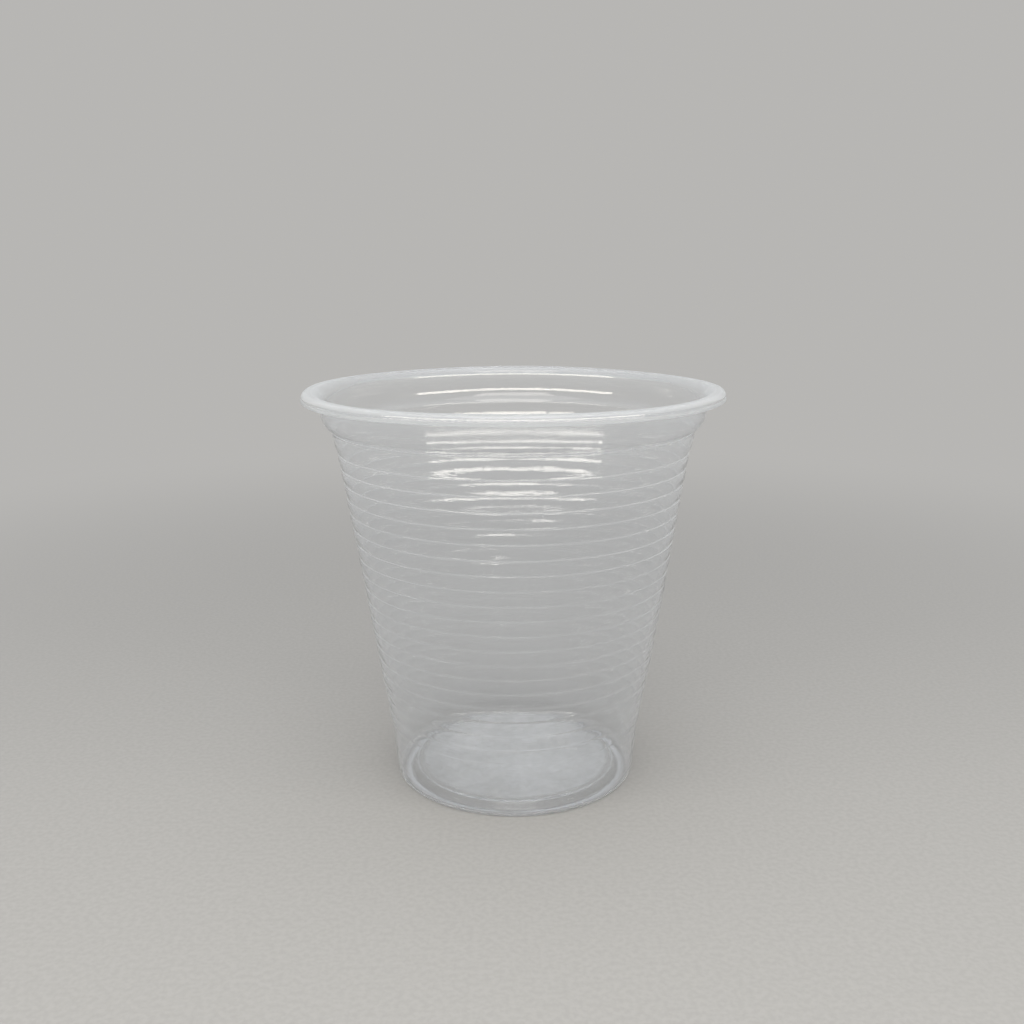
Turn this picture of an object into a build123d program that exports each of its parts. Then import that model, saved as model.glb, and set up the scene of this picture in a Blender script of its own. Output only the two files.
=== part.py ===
from build123d import *
from itertools import pairwise
import math
import os

# A disposable drinking cup, drawn in one piece from a thin sheet of polypropylene.
#
# The cup is a figure of revolution about +Z, in millimetres. Its origin is the centre of the foot,
# on the surface that the cup stands on. A turned-down lip leads into a plain neck, a shoulder,
# a tapering wall with a stack of bowed ribs, a plain lower band and a rounded heel. The base panel
# is raised inside the ring that the cup stands on.
#
# The section is drawn as the outside of the sheet, with corners (radius, height) from the cut edge
# of the lip to the centre of the base. The inside has the same corners, moved in by the thickness.

# Overall sizes
height = 92.0                # foot to the crown of the lip
lip_diameter = 95.0          # over the skirt of the lip
base_diameter = 56.6         # where the side wall would meet the surface under it
wall = 0.4                   # sheet of the lip, the side and the foot
base_thickness = 0.6         # base panel, which is stretched less than the side

# Lip, whose sheet turns out over the crown and down into a short skirt
lip_overhang = 4.0           # outside of the neck to the outside of the skirt
lip_depth = 2.05             # crown to the cut edge of the skirt
lip_inner_radius = 2.4       # drinking edge, on its upper side
lip_outer_radius = 1.2       # crown to skirt, on its upper side
skirt_flare = 8.0            # degrees that the skirt leans out towards its cut edge

# Neck and shoulder, which carries the next cup of a stack
neck_depth = 6.7             # crown to where the neck would meet the shoulder's cone
neck_draft = 1.5             # degrees that the neck leans in towards the shoulder
shoulder_step = 2.35         # how far in the shoulder brings the wall
shoulder_angle = 48.0        # degrees from upright of the shoulder's cone
shoulder_radius = 4.5        # rounding from the neck into that cone

# Ribs, each a shallow bow between two grooves
rib_count = 19
rib_bow = 0.18               # how far a rib bows out past the line between its grooves
first_groove_depth = 13.8    # crown to the groove above the ribs
last_groove_height = 13.6    # foot to the groove below the ribs
upper_band_step = 1.15       # how far in the band between shoulder and ribs brings the wall
upper_band_bow = 0.3         # how far that band bows out
lower_band_draft = 5.7       # degrees that the plain band under the ribs leans in

# Foot and base panel
heel_radius = 1.8
foot_width = 3.4             # wall's corner to the panel's riser, along the surface
panel_rise = 1.5             # underside of the panel above the surface
riser_angle = 45.0           # degrees from level of the riser from foot to panel
foot_bend_radius = 0.8       # foot into the riser, on its underside
panel_bend_radius = 0.4      # riser into the panel, on its underside


def slope(degrees):
    """The run for each unit of rise of a line that leans this far from upright."""
    return math.tan(math.radians(degrees))


def outside_corners():
    """The outside of the sheet in three runs: lip to shoulder, the grooves, heel to base centre."""
    cut_edge_radius = lip_diameter / 2 - wall * math.cos(math.radians(skirt_flare))
    cut_edge_height = height - lip_depth
    underside_height = height - wall
    neck_radius = lip_diameter / 2 - lip_overhang
    shoulder_corner_height = height - neck_depth
    shoulder_corner_radius = neck_radius - (neck_depth - wall) * slope(neck_draft)
    waist_radius = shoulder_corner_radius - shoulder_step
    waist_height = shoulder_corner_height - shoulder_step / slope(shoulder_angle)
    skirt_lean = (underside_height - cut_edge_height) * slope(skirt_flare)
    upper = [
        Vector(cut_edge_radius, cut_edge_height),
        Vector(cut_edge_radius - skirt_lean, underside_height),
        Vector(neck_radius, underside_height),
        Vector(shoulder_corner_radius, shoulder_corner_height),
        Vector(waist_radius, waist_height),
    ]

    base_radius = base_diameter / 2
    first_groove = Vector(waist_radius - upper_band_step, height - first_groove_depth)
    last_groove_radius = base_radius + last_groove_height * slope(lower_band_draft)
    last_groove = Vector(last_groove_radius, last_groove_height)
    rib_run = (last_groove - first_groove) / rib_count
    grooves = [first_groove + rib_run * n for n in range(rib_count + 1)]

    riser_radius = base_radius - foot_width
    panel_radius = riser_radius - panel_rise * slope(90 - riser_angle)
    lower = [
        Vector(base_radius, 0),
        Vector(riser_radius, 0),
        Vector(panel_radius, panel_rise),
        Vector(0, panel_rise),
    ]
    return upper, grooves, lower


def inner_side(heading):
    """The direction from the outside of the sheet to its inside, for a stretch with this heading."""
    return Vector(heading.Y, -heading.X)


def inset(corners, thicknesses):
    """The corners of a line that runs inside the given one, each stretch at its own distance."""
    headings = [(end - start).normalized() for start, end in pairwise(corners)]
    moved = [corners[0] + inner_side(headings[0]) * thicknesses[0]]
    for number, (before, after) in enumerate(pairwise(headings), start=1):
        across = inner_side(before) * thicknesses[number - 1]
        turn = before.dot(inner_side(after))
        gap = thicknesses[number] - across.dot(inner_side(after))
        along = 0 if abs(turn) < 1e-6 else gap / turn
        moved.append(corners[number] + across + before * along)
    moved.append(corners[-1] + inner_side(headings[-1]) * thicknesses[-1])
    return moved


def bow(top, bottom, height_of_bow):
    """An arc from top to bottom that bows to the outside by the given amount."""
    heading = (bottom - top).normalized()
    ThreePointArc(top, (top + bottom) / 2 - inner_side(heading) * height_of_bow, bottom)


def draw_side(upper, grooves, lower, depth):
    """One side of the sheet as lines and arcs, at this depth from its outside, which sets its bends."""
    upper_bends = [
        lip_outer_radius - wall + depth,
        lip_inner_radius - wall + depth,
        shoulder_radius - depth,
    ]
    lower_bends = [heel_radius - depth, foot_bend_radius - depth, panel_bend_radius + depth]
    FilletPolyline(*upper, radius=upper_bends)
    bow(upper[-1], grooves[0], upper_band_bow)
    for top, bottom in pairwise(grooves):
        bow(top, bottom, rib_bow)
    FilletPolyline(grooves[-1], *lower, radius=lower_bends)


def make_cup():
    """The sheet's section, turned about the cup's axis."""
    upper, grooves, lower = outside_corners()
    corners = [*upper, *grooves, *lower]
    thicknesses = [wall] * (len(corners) - 2) + [base_thickness]
    inside = inset(corners, thicknesses)
    inside_upper = inside[:len(upper)]
    inside_grooves = inside[len(upper):-len(lower)]
    inside_lower = inside[-len(lower):]
    with BuildPart() as cup:
        with BuildSketch(Plane.XZ):
            with BuildLine():
                draw_side(upper, grooves, lower, 0)
                draw_side(inside_upper, inside_grooves, inside_lower, wall)
                Line(corners[0], inside[0])
                Line(corners[-1], inside[-1])
            make_face()
        revolve(axis=Axis.Z)
    cup.part.label = "cup"
    return cup.part


os.makedirs("parts", exist_ok=True)
export_step(make_cup(), "parts/cup.step")
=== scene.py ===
"""Looks of a translucent plastic disposable cup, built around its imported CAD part.

The cup is one formed sheet. Its CAD node is replaced by a finer mesh of the same sheet, with the small
unevenness of a thermoformed wall. Lengths are in metres, and heights are measured from the foot.
"""

import math
import random

import bpy
from mathutils import Matrix, Vector


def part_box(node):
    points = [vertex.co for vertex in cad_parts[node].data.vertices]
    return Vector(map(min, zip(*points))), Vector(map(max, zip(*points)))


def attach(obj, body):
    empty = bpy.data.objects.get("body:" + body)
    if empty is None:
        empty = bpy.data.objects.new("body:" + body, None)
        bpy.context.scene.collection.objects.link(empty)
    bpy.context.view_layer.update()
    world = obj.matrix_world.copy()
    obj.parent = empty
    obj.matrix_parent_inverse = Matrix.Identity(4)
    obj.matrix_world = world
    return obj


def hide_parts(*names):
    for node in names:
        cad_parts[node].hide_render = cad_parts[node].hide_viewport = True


MM = 0.001

# Sheet
WALL = 0.4 * MM
BASE_THICKNESS = 0.6 * MM

# Lip, neck and shoulder, downwards from the crown
LIP_OVERHANG = 4.0 * MM
LIP_DEPTH = 2.05 * MM
LIP_INNER_RADIUS = 2.4 * MM
LIP_OUTER_RADIUS = 1.2 * MM
SKIRT_FLARE = math.radians(8.0)
NECK_DEPTH = 6.7 * MM
NECK_DRAFT = math.radians(1.5)
SHOULDER_STEP = 2.35 * MM
SHOULDER_ANGLE = math.radians(48.0)
SHOULDER_RADIUS = 4.5 * MM

# Ribs
RIB_COUNT = 19
RIB_BOW = 0.18 * MM
RIB_BOW_SHARES = (0.9, 1.4)     # least and most of it that a rib gets
GROOVE_SOFTNESS = 0.16          # share of a rib's bow that rounds off its grooves
FIRST_GROOVE_DEPTH = 13.8 * MM
LAST_GROOVE_HEIGHT = 13.6 * MM
UPPER_BAND_STEP = 1.15 * MM
UPPER_BAND_BOW = 0.3 * MM
LOWER_BAND_DRAFT = math.radians(5.7)

# Foot and base panel
BASE_RADIUS = 28.3 * MM
HEEL_RADIUS = 1.8 * MM
FOOT_WIDTH = 3.4 * MM
PANEL_RISE = 1.5 * MM
RISER_ANGLE = math.radians(45.0)
FOOT_BEND_RADIUS = 0.8 * MM
PANEL_BEND_RADIUS = 0.4 * MM
PANEL_RADIUS = BASE_RADIUS - FOOT_WIDTH - PANEL_RISE / math.tan(RISER_ANGLE)
PANEL_ZONE = 4.0 * MM           # height under which the sheet belongs to the base
PANEL_RIM = 1.0 * MM            # width over which the panel's looks fade in

# Unevenness of the formed sheet: number of waves, their joint height, times round, waves per metre
SLOW_WAVES = (6, 0.22 * MM, (2, 5), (4, 16))
RIPPLES = (14, 0.10 * MM, (5, 14), (30, 140))
FINE_WAVES = (16, 0.025 * MM, (8, 26), (150, 420))
LIP_WARP = (3, 0.22 * MM, (2, 4), (0, 0))
PANEL_WAVES = (8, 0.10 * MM, (2, 9), (40, 160))
WAVE_SPREAD = (0.6, 1.4)        # least and most of its share that one wave gets

# Where that unevenness fades: heights above the foot, depths below the crown, radii on the panel
SLOW_FULL_HEIGHT = 20 * MM
RIPPLE_HEIGHTS = (2.5 * MM, 9 * MM)
RIPPLE_DEPTHS = (12 * MM, 2 * MM)
WARP_DEPTH = 14 * MM
PANEL_WAVE_FULL_RADIUS = 8 * MM
PANEL_WAVE_END_RADII = (16 * MM, 23 * MM)
DRAWN_DEPTHS = (8 * MM, 3 * MM) # from drawn wall to the lip's undrawn sheet

# Mesh
SEGMENTS = 168                  # round the cup
RIB_STEPS = 10                  # points on each rib
ARC_STEP = math.radians(15.0)
LONGEST_STEP = 1.6 * MM
EDGE_ROUNDING = 0.1 * MM
EDGE_POINTS = (0.25, 0.5, 0.75) # places across the cut edge

# Milkiness, as the share of light that one face of the sheet scatters, seen square on; in sharp bends and at
# the cut edge it also holds painted highlights
HAZE_SIDE = 0.020
HAZE_PANEL = 0.20
HAZE_LIP = 0.12
EDGE_HAZE_AND_HIGHLIGHT = 0.5                 # raw cut edge of the skirt: its own whiteness, partly a painted highlight line along the edge
BEND_HAZE_AND_HIGHLIGHT = 0.17                # more of it where the sheet is bent sharply: partly the sheet's own haze, partly a painted highlight for the light that grooves and bends catch
BEND_FADE = 0.7                 # how much of that haze and painted highlight the ribs lose from the top groove to the bottom one
BEND_FADE_HEIGHT = 6 * MM       # above the heel, whose bends keep theirs
LIP_HAZE_DEPTHS = (5 * MM, 1.5 * MM)
SKIRT_CLEARING = 0.75           # how much of the lip's milkiness the skirt loses
SKIRT_DEPTHS = (0.3 * MM, 0.9 * MM)
SKIRT_WIDTH = 1.3 * MM
GENTLE_BEND = 0.2 / MM          # curvature up to which a bend stays clear
SHARP_BEND = 1.1 / MM           # curvature from which it is fully milky

# Material
SHEET_IOR = 1.49
DRAWN_ROUGHNESS = 0.035
LIP_ROUGHNESS = 0.11
CLEAR_COLOUR = (0.975, 0.985, 1.0, 1.0)
MILK_COLOUR = (0.91, 0.95, 1.0, 1.0)
LEAST_SQUARENESS = 0.16         # limits how much longer a slanting path through the sheet counts
MOST_MILK = 0.8
SPECK_MILK = 0.35
CLOUD_SCALE = 70.0              # noise scales, per metre
STREAK_SCALE = 420.0
SPECK_SCALE = 260.0
RARITY_SCALE = 130.0
WAVINESS_SCALE = 160.0
PIMPLE_SCALE = 1500.0
WAVINESS_HEIGHT = 0.03 * MM
PIMPLE_HEIGHT = 0.0025 * MM
LIP_WAVINESS = 0.03             # share of the waviness that the lip keeps
LET_BY_SQUARE = 0.96            # light that passes the sheet square on, in shadows and soft light
LET_BY_EDGE_ON = 0.55

# Stage
FLAT_RADIUS = 0.3
FLOOR_RADIUS = 2.2
WALL_HEIGHT = 2.0
COVE_RADIUS = 1.6
STAGE_SEGMENTS = 96
PAPER_TONE = 0.37
PAPER_GRAIN = 0.03
GRAIN_SCALE = 900.0
BACKGROUND_COLOUR = (0.475, 0.468, 0.455, 1.0)
BACKGROUND_DISTANCES = (0.08, 0.45)  # from the cup, over which the paper turns into plain background

# Lamps: places and sizes in metres
CUP_MIDDLE = Vector((0, 0, 0.07))
KEY_AZIMUTHS = (-48, 0, 48)     # degrees
KEY_OFFSET = Vector((0, -0.6, 0.31))
KEY_SIZE = (0.53, 0.18)
KEY_RADIANCE = 6.5
KEY_COLOUR = (1.0, 0.95, 0.86)
FRONT_TOP_PLACE = (0, -0.45, 0.95)
FRONT_TOP_SIZE = (0.6, 0.4)
FRONT_TOP_RADIANCE = 2.5
FRONT_TOP_COLOUR = (1.0, 0.96, 0.89)
OVERHEAD_PLACE = (0, 0.15, 1.3)
OVERHEAD_SIZE = (1.0, 1.0)
OVERHEAD_RADIANCE = 0.8
SKY_COLOUR = (0.95, 0.97, 1.0, 1.0)
SKY_STRENGTH = 0.6

# Camera: fitted to the circles of the lip, the shoulder and the base
CAMERA_PLACE = (0, -0.2507, 0.1213)
CAMERA_PITCH = math.radians(13.13)  # downwards
CAMERA_YAW = 0.0019             # radians
CAMERA_ROLL = -0.0042           # radians
SENSOR_MM = 36.0
LENS_MM = 38.95
CLIP_START = 0.01               # metres


def rounded(corners, radii):
    """Points along a line through corners (radius, height), with the corners between its ends rounded."""
    points = [corners[0]]
    for before, corner, after, radius in zip(corners, corners[1:], corners[2:], radii):
        heading = (corner - before).normalized()
        leaving = (after - corner).normalized()
        turn = heading.angle(leaving)
        start = corner - heading * radius * math.tan(turn / 2)
        centre_side = (leaving - heading * heading.dot(leaving)).normalized()
        pieces = max(3, math.ceil(turn / ARC_STEP))
        for piece in range(pieces + 1):
            angle = turn * piece / pieces
            along = heading * radius * math.sin(angle)
            across = centre_side * radius * (1 - math.cos(angle))
            points.append(start + along + across)
    points.append(corners[-1])
    return points


def divided(points):
    """The same line, with more points where two neighbours are far apart."""
    result = [points[0]]
    for start, end in zip(points, points[1:]):
        pieces = math.ceil((end - start).length / LONGEST_STEP)
        result.extend(start.lerp(end, piece / pieces) for piece in range(1, pieces + 1))
    return result


def bowed(start, end, bow, steps, softness):
    """Points from start to just before end on a line that bows outwards, with soft ends."""
    run = end - start
    outwards = Vector((-run.y, run.x)).normalized()
    points = []
    for step in range(steps):
        part = (1 - math.cos(math.pi * step / steps)) / 2
        rise = math.hypot(math.sin(math.pi * part), softness) - softness
        full_rise = math.hypot(1, softness) - softness
        points.append(start + run * part + outwards * bow * rise / full_rise)
    return points


def outside_line(lip_radius, height):
    """The outside of the sheet, from the cut edge under the lip to the centre of the base."""
    cut_radius = lip_radius - WALL * math.cos(SKIRT_FLARE)
    cut_height = height - LIP_DEPTH
    under_lip = height - WALL
    neck_radius = lip_radius - LIP_OVERHANG
    shoulder_height = height - NECK_DEPTH
    shoulder_radius = neck_radius - (NECK_DEPTH - WALL) * math.tan(NECK_DRAFT)
    waist_height = shoulder_height - SHOULDER_STEP / math.tan(SHOULDER_ANGLE)
    waist = Vector((shoulder_radius - SHOULDER_STEP, waist_height))
    upper = [
        Vector((cut_radius, cut_height)),
        Vector((cut_radius - (under_lip - cut_height) * math.tan(SKIRT_FLARE), under_lip)),
        Vector((neck_radius, under_lip)),
        Vector((shoulder_radius, shoulder_height)),
        waist,
    ]
    upper_bends = [LIP_OUTER_RADIUS - WALL, LIP_INNER_RADIUS - WALL, SHOULDER_RADIUS]

    first_groove = Vector((waist.x - UPPER_BAND_STEP, height - FIRST_GROOVE_DEPTH))
    last_groove_radius = BASE_RADIUS + LAST_GROOVE_HEIGHT * math.tan(LOWER_BAND_DRAFT)
    last_groove = Vector((last_groove_radius, LAST_GROOVE_HEIGHT))
    rib_run = (last_groove - first_groove) / RIB_COUNT
    grooves = [first_groove + rib_run * number for number in range(RIB_COUNT + 1)]

    lower = [
        last_groove,
        Vector((BASE_RADIUS, 0)),
        Vector((BASE_RADIUS - FOOT_WIDTH, 0)),
        Vector((PANEL_RADIUS, PANEL_RISE)),
        Vector((0, PANEL_RISE)),
    ]
    lower_bends = [HEEL_RADIUS, FOOT_BEND_RADIUS, PANEL_BEND_RADIUS]

    line = divided(rounded(upper, upper_bends))[:-1]
    line += bowed(waist, first_groove, UPPER_BAND_BOW, RIB_STEPS, GROOVE_SOFTNESS)
    for top, bottom in zip(grooves, grooves[1:]):
        bow = RIB_BOW * random.uniform(*RIB_BOW_SHARES)
        line += bowed(top, bottom, bow, RIB_STEPS, GROOVE_SOFTNESS)
    return line + divided(rounded(lower, lower_bends))


def blend(low, high, value):
    """0 below low, 1 above high, and a smooth rise between them."""
    part = min(max((value - low) / (high - low), 0), 1)
    return part * part * (3 - 2 * part)


def inside_line(outside):
    """The inside of the sheet: each outside point moved in by the sheet's thickness."""
    inside = []
    for number, point in enumerate(outside):
        before = outside[max(number - 1, 0)]
        after = outside[min(number + 1, len(outside) - 1)]
        run = (after - before).normalized()
        on_panel = 1 - blend(PANEL_RADIUS, PANEL_RADIUS + PANEL_RISE, point.x)
        on_panel *= point.y < PANEL_RISE * 2
        thickness = WALL + (BASE_THICKNESS - WALL) * on_panel
        inside.append(point + Vector((run.y, -run.x)) * thickness)
    inside[-1].x = 0
    return inside


def make_waves(count, amplitude, around, climb):
    """Seeded waves (amplitude, times round, waves per metre of height, phase) for an uneven surface."""
    waves = []
    for number in range(count):
        share = amplitude * random.uniform(*WAVE_SPREAD) / count
        times_round = random.randint(*around)
        waves_up = random.uniform(*climb) * random.choice((-1, 1))
        waves.append((share, times_round, waves_up, random.uniform(0, math.tau)))
    return waves


def wave_height(waves, angle, height):
    """How far the waves lift the surface at this place."""
    return sum(
        amplitude * math.sin(times_round * angle + math.tau * waves_up * height + phase)
        for amplitude, times_round, waves_up, phase in waves
    )


def sheet_haze_and_highlight(point, curvature, lip_radius, top):
    """How milky the sheet is: little on the side, more on the crown, in sharp bends and in the panel; in the
    sharp bends it is partly a painted highlight.
    """
    fade_start, fade_end = LIP_HAZE_DEPTHS
    lip = blend(top - fade_start, top - fade_end, point.y)
    skirt = blend(*SKIRT_DEPTHS, top - point.y) * (point.x > lip_radius - SKIRT_WIDTH)
    lip *= 1 - SKIRT_CLEARING * skirt
    panel = (1 - blend(PANEL_RADIUS - PANEL_RIM, PANEL_RADIUS, point.x)) * (point.y < PANEL_ZONE)
    bend = blend(GENTLE_BEND, SHARP_BEND, curvature)
    # the painted highlight in the bends of the ribs, with their haze, fades from the top groove to the
    # bottom one
    if point.y > BEND_FADE_HEIGHT:
        bend *= 1 - BEND_FADE * (1 - blend(LAST_GROOVE_HEIGHT, top - FIRST_GROOVE_DEPTH, point.y))
    haze = HAZE_SIDE + (HAZE_LIP - HAZE_SIDE) * lip + (HAZE_PANEL - HAZE_SIDE) * panel
    return haze + BEND_HAZE_AND_HIGHLIGHT * bend


def curvatures(line):
    """The turn for each metre of the line, at each of its points."""
    result = [0.0]
    for before, point, after in zip(line, line[1:], line[2:]):
        turn = (point - before).angle(after - point)
        result.append(turn * 2 / ((point - before).length + (after - point).length))
    return result + [0.0]


def make_cup(lip_radius, top):
    """The whole sheet as one closed mesh turned about Z, with two attributes at each point.

    "haze" is how milky the sheet is, with painted highlights along sharp bends and the cut edge, and "drawn"
    is 1 where forming stretched it and 0 at the lip.
    """
    outside = outside_line(lip_radius, top)
    inside = inside_line(outside)
    edge = [
        outside[0].lerp(inside[0], part) - Vector((0, EDGE_ROUNDING * math.sin(math.pi * part)))
        for part in EDGE_POINTS
    ]
    line = outside[-2::-1] + edge + inside[:-1]
    line_haze_and_highlight = [
        sheet_haze_and_highlight(point, curvature, lip_radius, top)
        for point, curvature in zip(line, curvatures(line))
    ]
    cut = len(outside) - 2
    # the cut edge and its neighbours get the edge haze, partly a painted highlight line
    line_haze_and_highlight[cut:cut + len(edge) + 2] = [EDGE_HAZE_AND_HIGHLIGHT] * (len(edge) + 2)

    slow = make_waves(*SLOW_WAVES)
    ripples = make_waves(*RIPPLES)
    fine = make_waves(*FINE_WAVES)
    warp = make_waves(*LIP_WARP)
    panel_waves = make_waves(*PANEL_WAVES)

    vertices = []
    haze = []
    drawn = []
    for segment in range(SEGMENTS):
        angle = math.tau * segment / SEGMENTS
        direction = Vector((math.cos(angle), math.sin(angle), 0))
        haze.extend(line_haze_and_highlight)
        for point in line:
            on_side = blend(*RIPPLE_HEIGHTS, point.y)
            on_side *= 1 - blend(top - RIPPLE_DEPTHS[0], top - RIPPLE_DEPTHS[1], point.y)
            rippled = wave_height(ripples, angle, point.y) + wave_height(fine, angle, point.y)
            spread = wave_height(slow, angle, point.y) * blend(0, SLOW_FULL_HEIGHT, point.y)
            spread += rippled * on_side
            lift = wave_height(warp, angle, 0) * blend(top - WARP_DEPTH, top, point.y)
            on_panel = blend(0, PANEL_WAVE_FULL_RADIUS, point.x)
            on_panel *= 1 - blend(*PANEL_WAVE_END_RADII, point.x)
            lift += wave_height(panel_waves, angle, point.x) * on_panel * (point.y < PANEL_ZONE)
            vertices.append(direction * (point.x + spread) + Vector((0, 0, point.y + lift)))
            drawn.append(1 - blend(top - DRAWN_DEPTHS[0], top - DRAWN_DEPTHS[1], point.y))
    count = len(line)
    faces = []
    for segment in range(SEGMENTS):
        here = segment * count
        there = (segment + 1) % SEGMENTS * count
        for row in range(count - 1):
            faces.append((here + row, there + row, there + row + 1, here + row + 1))
    for pole, row in ((outside[-1], 0), (inside[-1], count - 1)):
        centre = len(vertices)
        vertices.append(Vector((0, 0, pole.y)))
        haze.append(HAZE_PANEL)
        drawn.append(1.0)
        for segment in range(SEGMENTS):
            here = segment * count + row
            there = (segment + 1) % SEGMENTS * count + row
            faces.append((centre, there, here) if row == 0 else (centre, here, there))

    mesh = bpy.data.meshes.new("cup_shell")
    mesh.from_pydata(vertices, [], faces)
    mesh.polygons.foreach_set("use_smooth", [True] * len(mesh.polygons))
    mesh.attributes.new("haze", "FLOAT", "POINT").data.foreach_set("value", haze)
    mesh.attributes.new("drawn", "FLOAT", "POINT").data.foreach_set("value", drawn)
    mesh.validate()
    shell = bpy.data.objects.new("cup_shell", mesh)
    bpy.context.scene.collection.objects.link(shell)
    return shell


class Nodes:
    """Adds nodes to a material or the world, with their inputs as values or as other nodes' outputs."""

    def __init__(self, owner):
        owner.use_nodes = True
        self.tree = owner.node_tree
        self.tree.nodes.clear()

    def add(self, kind, inputs=(), **settings):
        made = self.tree.nodes.new("ShaderNode" + kind)
        for name, value in settings.items():
            setattr(made, name, value)
        for name, value in dict(inputs).items():
            if isinstance(value, bpy.types.NodeSocket):
                self.tree.links.new(value, made.inputs[name])
            else:
                made.inputs[name].default_value = value
        return made

    def math(self, operation, first, second=0.0, third=0.0):
        made = self.add("Math", {0: first, 1: second, 2: third}, operation=operation)
        return made.outputs[0]

    def noise(self, place, scale, detail=2.0, roughness=0.5, distortion=0.0):
        inputs = {
            "Vector": place,
            "Scale": scale,
            "Detail": detail,
            "Roughness": roughness,
            "Distortion": distortion,
        }
        return self.add("TexNoise", inputs).outputs["Fac"]

    def ranged(self, value, low, high, to_low, to_high):
        inputs = {"Value": value, "From Min": low, "From Max": high, "To Min": to_low, "To Max": to_high}
        return self.add("MapRange", inputs, interpolation_type="SMOOTHSTEP").outputs["Result"]


def make_cup_material():
    """Clear, slightly milky polypropylene: glass-like sheet with a share of its light scattered, a share
    that is raised along sharp bends and the cut edge as a painted highlight.
    """
    material = bpy.data.materials.new("milky_polypropylene")
    nodes = Nodes(material)
    place = nodes.add("TexCoord").outputs["Object"]
    upright = nodes.add("Mapping", {"Vector": place, "Scale": (1.0, 1.0, 0.25)}).outputs[0]
    round_about = nodes.add("Mapping", {"Vector": place, "Scale": (1.0, 1.0, 5.0)}).outputs[0]

    drawn = nodes.add("Attribute", attribute_name="drawn").outputs["Fac"]
    clouds = nodes.ranged(nodes.noise(place, CLOUD_SCALE, 3.0, 0.55), 0.3, 0.7, -0.25, 0.25)
    streaks = nodes.ranged(nodes.noise(upright, STREAK_SCALE, 2.0, 0.5, 0.6), 0.3, 0.75, -0.12, 0.15)
    unevenness = nodes.math("MULTIPLY_ADD", nodes.math("ADD", clouds, streaks), drawn, 1.0)
    speck_field = nodes.add("TexVoronoi", {"Vector": place, "Scale": SPECK_SCALE, "Randomness": 1.0})
    specks = nodes.ranged(speck_field.outputs["Distance"], 0.02, 0.07, 1.0, 0.0)
    rare = nodes.ranged(nodes.noise(place, RARITY_SCALE, 1.0), 0.62, 0.66, 0.0, 1.0)
    speck_share = nodes.math("MULTIPLY", nodes.math("MULTIPLY", specks, rare), SPECK_MILK)

    # the haze attribute carries the painted highlights along sharp bends and the cut edge as well as the
    # sheet's milkiness
    haze = nodes.add("Attribute", attribute_name="haze").outputs["Fac"]
    mottled = nodes.math("MULTIPLY", haze, unevenness)
    facing = nodes.add("LayerWeight", {"Blend": 0.5}).outputs["Facing"]
    squareness = nodes.math("MAXIMUM", nodes.math("SUBTRACT", 1.0, facing), LEAST_SQUARENESS)
    through_sheet = nodes.math("DIVIDE", mottled, squareness)
    milk_share = nodes.math("MINIMUM", nodes.math("ADD", through_sheet, speck_share), MOST_MILK)

    wavy = nodes.noise(round_about, WAVINESS_SCALE, 2.0, 0.5)
    bump_strength = nodes.math("MULTIPLY_ADD", drawn, 1 - LIP_WAVINESS, LIP_WAVINESS)
    rolled = nodes.add(
        "Bump", {"Height": wavy, "Strength": bump_strength, "Distance": WAVINESS_HEIGHT}
    ).outputs["Normal"]
    pimpled = nodes.noise(place, PIMPLE_SCALE, 2.0, 0.6)
    skin = nodes.add(
        "Bump", {"Height": pimpled, "Strength": 1.0, "Distance": PIMPLE_HEIGHT, "Normal": rolled}
    ).outputs["Normal"]

    roughness = nodes.math("MULTIPLY_ADD", drawn, DRAWN_ROUGHNESS - LIP_ROUGHNESS, LIP_ROUGHNESS)
    clear = nodes.add("BsdfPrincipled", {
        "Base Color": CLEAR_COLOUR,
        "Roughness": roughness,
        "IOR": SHEET_IOR,
        "Transmission Weight": 1.0,
        "Normal": skin,
    })
    front_scatter = nodes.add("BsdfDiffuse", {"Color": MILK_COLOUR, "Normal": skin})
    back_scatter = nodes.add("BsdfTranslucent", {"Color": MILK_COLOUR, "Normal": skin})
    scatter = nodes.add("MixShader", {0: 0.5, 1: front_scatter.outputs[0], 2: back_scatter.outputs[0]})
    sheet = nodes.add("MixShader", {0: milk_share, 1: clear.outputs[0], 2: scatter.outputs[0]})
    let_by = nodes.ranged(facing, 0.0, 1.0, LET_BY_SQUARE, LET_BY_EDGE_ON)
    letting_light_by = nodes.add("BsdfTransparent", {"Color": let_by})
    path = nodes.add("LightPath").outputs
    soft_light = nodes.math("MAXIMUM", path["Is Shadow Ray"], path["Is Diffuse Ray"])
    shown = nodes.add("MixShader", {0: soft_light, 1: sheet.outputs[0], 2: letting_light_by.outputs[0]})
    nodes.add("OutputMaterial", {"Surface": shown.outputs[0]})
    return material


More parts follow.
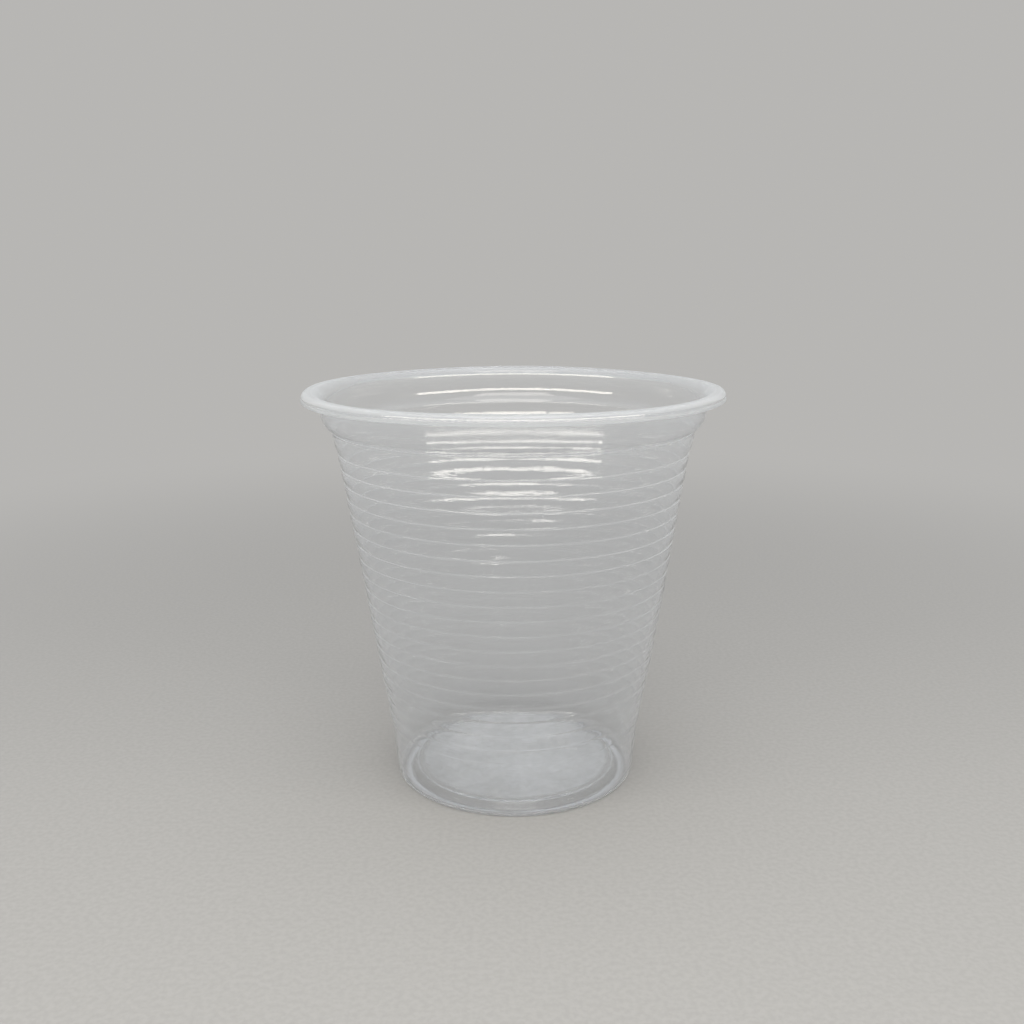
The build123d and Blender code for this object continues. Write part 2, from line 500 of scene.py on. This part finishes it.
def make_stage():
    """A pale floor that turns up into a wall all round, so that every view has a plain background."""
    corners = [Vector((0, 0)), Vector((FLOOR_RADIUS, 0)), Vector((FLOOR_RADIUS, WALL_HEIGHT))]
    line = rounded(corners, [COVE_RADIUS])
    line.insert(1, Vector((FLAT_RADIUS, 0)))
    vertices = [Vector((0, 0, 0))]
    faces = []
    count = len(line) - 1
    for segment in range(STAGE_SEGMENTS):
        angle = math.tau * segment / STAGE_SEGMENTS
        for point in line[1:]:
            vertices.append(Vector((point.x * math.cos(angle), point.x * math.sin(angle), point.y)))
    for segment in range(STAGE_SEGMENTS):
        here = 1 + segment * count
        there = 1 + (segment + 1) % STAGE_SEGMENTS * count
        faces.append((0, here, there))
        for row in range(count - 1):
            faces.append((here + row, here + row + 1, there + row + 1, there + row))
    mesh = bpy.data.meshes.new("backdrop")
    mesh.from_pydata(vertices, [], faces)
    mesh.polygons.foreach_set("use_smooth", [True] * len(mesh.polygons))
    backdrop = bpy.data.objects.new("backdrop", mesh)
    bpy.context.scene.collection.objects.link(backdrop)

    material = bpy.data.materials.new("pale_backdrop")
    nodes = Nodes(material)
    place = nodes.add("TexCoord").outputs["Object"]
    grain = nodes.ranged(nodes.noise(place, GRAIN_SCALE, 3.0), 0.3, 0.7, 0.0, 1.0)
    tone = nodes.math("MULTIPLY_ADD", grain, PAPER_GRAIN, PAPER_TONE)
    paper = nodes.add("BsdfPrincipled", {"Base Color": tone, "Roughness": 0.9})
    paper.inputs["Specular IOR Level"].default_value = 0.2
    plain = nodes.add("Emission", {"Color": BACKGROUND_COLOUR})
    from_cup = nodes.add("VectorMath", {0: place}, operation="LENGTH").outputs["Value"]
    far = nodes.ranged(from_cup, *BACKGROUND_DISTANCES, 0.0, 1.0)
    path = nodes.add("LightPath").outputs
    seen = nodes.math("MAXIMUM", path["Is Camera Ray"], path["Is Glossy Ray"])
    seen = nodes.math("MAXIMUM", seen, path["Is Transmission Ray"])
    share = nodes.math("MULTIPLY", far, seen)
    surface = nodes.add("MixShader", {0: share, 1: paper.outputs[0], 2: plain.outputs[0]})
    nodes.add("OutputMaterial", {"Surface": surface.outputs[0]})
    mesh.materials.append(material)


def add_light(name, place, target, size, radiance, colour=(1.0, 1.0, 1.0)):
    """A soft rectangular lamp of this radiance that faces the target and that the camera doesn't see."""
    data = bpy.data.lights.new(name, "AREA")
    data.shape = "RECTANGLE"
    data.size, data.size_y = size
    data.color = colour
    data.energy = radiance * math.pi * size[0] * size[1]
    lamp = bpy.data.objects.new(name, data)
    lamp.location = place
    lamp.rotation_euler = (Vector(target) - Vector(place)).to_track_quat("-Z", "Y").to_euler()
    lamp.visible_camera = False
    bpy.context.scene.collection.objects.link(lamp)


def make_lights():
    """A warm bank of lamps round the front, one more above it, and a large plain lamp overhead."""
    for azimuth in KEY_AZIMUTHS:
        turn = Matrix.Rotation(math.radians(azimuth), 3, "Z")
        place = CUP_MIDDLE + turn @ KEY_OFFSET
        add_light("key", place, CUP_MIDDLE, KEY_SIZE, KEY_RADIANCE, KEY_COLOUR)
    add_light("front_top", FRONT_TOP_PLACE, CUP_MIDDLE, FRONT_TOP_SIZE, FRONT_TOP_RADIANCE, FRONT_TOP_COLOUR)
    add_light("overhead", OVERHEAD_PLACE, CUP_MIDDLE, OVERHEAD_SIZE, OVERHEAD_RADIANCE)
    world = bpy.data.worlds.new("studio")
    nodes = Nodes(world)
    sky = nodes.add("Background", {"Color": SKY_COLOUR, "Strength": SKY_STRENGTH})
    nodes.add("OutputWorld", {"Surface": sky.outputs[0]})
    bpy.context.scene.world = world


def make_camera():
    """The photograph's view: a little above the cup, looking down on the lip."""
    data = bpy.data.cameras.new("camera")
    data.sensor_width = SENSOR_MM
    data.lens = LENS_MM
    data.clip_start = CLIP_START
    camera = bpy.data.objects.new("camera", data)
    camera.location = CAMERA_PLACE
    yaw = Matrix.Rotation(CAMERA_YAW, 3, "Z")
    pitch = Matrix.Rotation(math.radians(90) - CAMERA_PITCH, 3, "X")
    roll = Matrix.Rotation(CAMERA_ROLL, 3, "Z")
    camera.rotation_euler = (yaw @ pitch @ roll).to_euler()
    bpy.context.scene.collection.objects.link(camera)
    bpy.context.scene.camera = camera


random.seed(19)
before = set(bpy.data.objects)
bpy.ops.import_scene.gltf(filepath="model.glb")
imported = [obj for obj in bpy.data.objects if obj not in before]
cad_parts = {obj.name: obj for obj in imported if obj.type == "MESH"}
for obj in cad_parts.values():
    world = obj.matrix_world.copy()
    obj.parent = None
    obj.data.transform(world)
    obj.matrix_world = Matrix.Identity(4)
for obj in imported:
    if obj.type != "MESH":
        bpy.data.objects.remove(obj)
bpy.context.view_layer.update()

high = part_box("cup")[1]
shell = make_cup(high.x, high.z)
shell.data.materials.append(make_cup_material())
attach(shell, "root")
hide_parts("cup")

make_stage()
make_lights()
make_camera()

scene = bpy.context.scene
scene.view_settings.view_transform = "Standard"
scene.cycles.max_bounces = 24
scene.cycles.transmission_bounces = 24
scene.cycles.glossy_bounces = 6
scene.cycles.diffuse_bounces = 3
scene.cycles.transparent_max_bounces = 24
